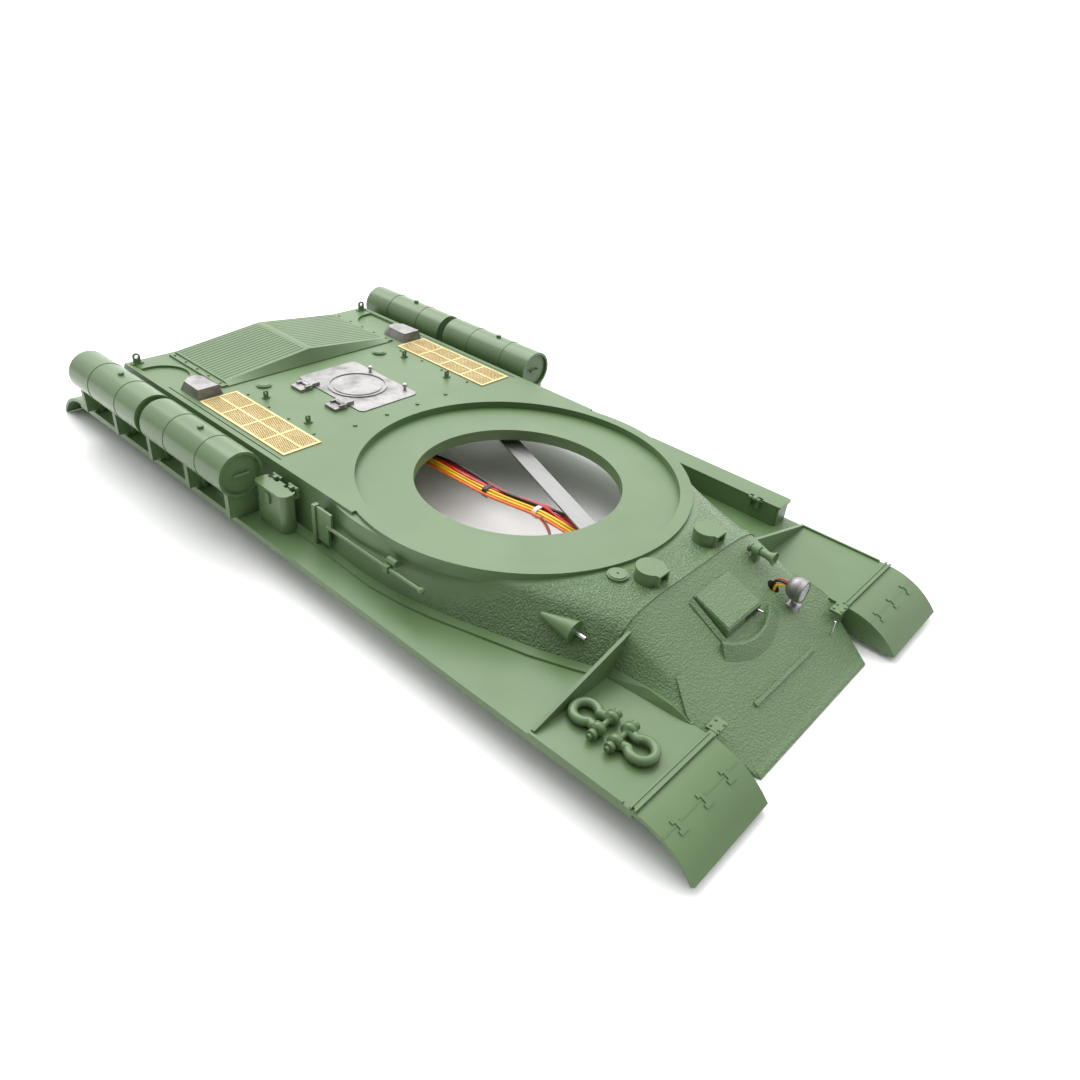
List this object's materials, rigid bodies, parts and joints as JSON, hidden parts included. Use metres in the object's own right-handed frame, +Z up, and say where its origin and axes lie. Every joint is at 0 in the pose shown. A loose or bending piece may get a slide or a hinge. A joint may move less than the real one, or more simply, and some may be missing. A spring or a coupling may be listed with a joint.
{
  "type": "model tank upper hull",
  "caption": "Hollow upper hull of a radio-controlled model tank: round turret seat, sloping front, fenders, fuel drums, engine hatch, grilles and stowage boxes.",
  "frame": {"origin": "bottom centre of the bounding box, on the table", "axes": "+X to the vehicle's left, +Y to its rear, +Z up"},
  "size_m": [0.2058, 0.412, 0.0473],
  "materials": {
    "green_paint": "satin moulded green with a soft sheen",
    "cast_metal": "grey die-cast metal, stained and unpolished",
    "etched_brass": "satin etched sheet",
    "bright_steel": "bright small hardware",
    "bare_aluminium": "rolled sheet, matt",
    "lens": "clear, ribbed",
    "black_plastic": "matt",
    "white_plastic": "matt",
    "red_insulation": "gloss",
    "yellow_insulation": "gloss",
    "black_insulation": "gloss",
    "orange_insulation": "gloss",
    "brown_insulation": "gloss"
  },
  "bodies": {
    "hull": {"box_latches": "green_paint", "dark_tie": "black_plastic", "deck_bolts": "green_paint", "deck_hooks": "green_paint", "driver_visor": "green_paint", "drum_end_caps": "green_paint", "drum_filler_caps": "green_paint", "drum_handles": "green_paint", "exhaust_covers": "cast_metal", "fender_gussets": "green_paint", "filler_caps": "green_paint", "grille_frames": "etched_brass", "grille_meshes": "etched_brass", "gun_fairing": "green_paint", "gun_lead_brown": "brown_insulation", "gun_lead_orange": "orange_insulation", "gun_tube": "bright_steel", "hatch_hinge_blocks": "cast_metal", "headlight_bowl": "cast_metal", "headlight_lens": "lens", "headlight_stalk": "cast_metal", "hinge_pins": "bright_steel", "horn_bracket": "green_paint", "horn_trumpet": "green_paint", "hull_shell": "green_paint", "joint_strips": "green_paint", "lamp_lead_black": "black_insulation", "lamp_lead_red": "red_insulation", "lamp_lead_yellow": "yellow_insulation", "lead_plug": "black_plastic", "left_box": "green_paint", "left_drum_rack": "green_paint", "left_drums": "green_paint", "left_fender": "green_paint", "left_front_mudguard": "green_paint", "lifting_eyes": "green_paint", "louvre_cover": "green_paint", "louvre_side_straps": "green_paint", "pale_tie": "white_plastic", "periscope_hoods": "green_paint", "rear_mudguards": "green_paint", "right_box": "green_paint", "right_drum_rack": "green_paint", "right_drums": "green_paint", "right_fender": "green_paint", "right_front_mudguard": "green_paint", "shackle_pins": "green_paint", "shovel": "green_paint", "splash_guard": "green_paint", "strap": "bare_aluminium", "strap_screws": "bright_steel", "tool_clamp": "green_paint", "tool_rack": "green_paint", "tow_shackles": "green_paint", "vent_disc": "green_paint", "wire_pins": "bright_steel"},
    "engine_hatch": {"engine_hatch": "cast_metal", "hatch_knobs": "bright_steel"},
    "right_lid": {"right_box_lid": "green_paint"},
    "left_lid": {"left_box_lid": "green_paint"}
  },
  "joints": [
    {"name": "engine_hatch_hinge", "type": "hinge", "parent": "hull", "child": "engine_hatch", "pos_m": [-0.0214, 0.0725, 0.0383], "axis": [0, -1, 0], "range_deg": [0, 110]},
    {"name": "right_lid_hinge", "type": "hinge", "parent": "hull", "child": "right_lid", "pos_m": [-0.0798, 0.01875, 0.0336], "axis": [0, 1, 0], "range_deg": [0, 100]},
    {"name": "left_lid_hinge", "type": "hinge", "parent": "hull", "child": "left_lid", "pos_m": [0.0824, -0.08925, 0.0254], "axis": [0, -1, 0], "range_deg": [0, 100]}
  ]
}
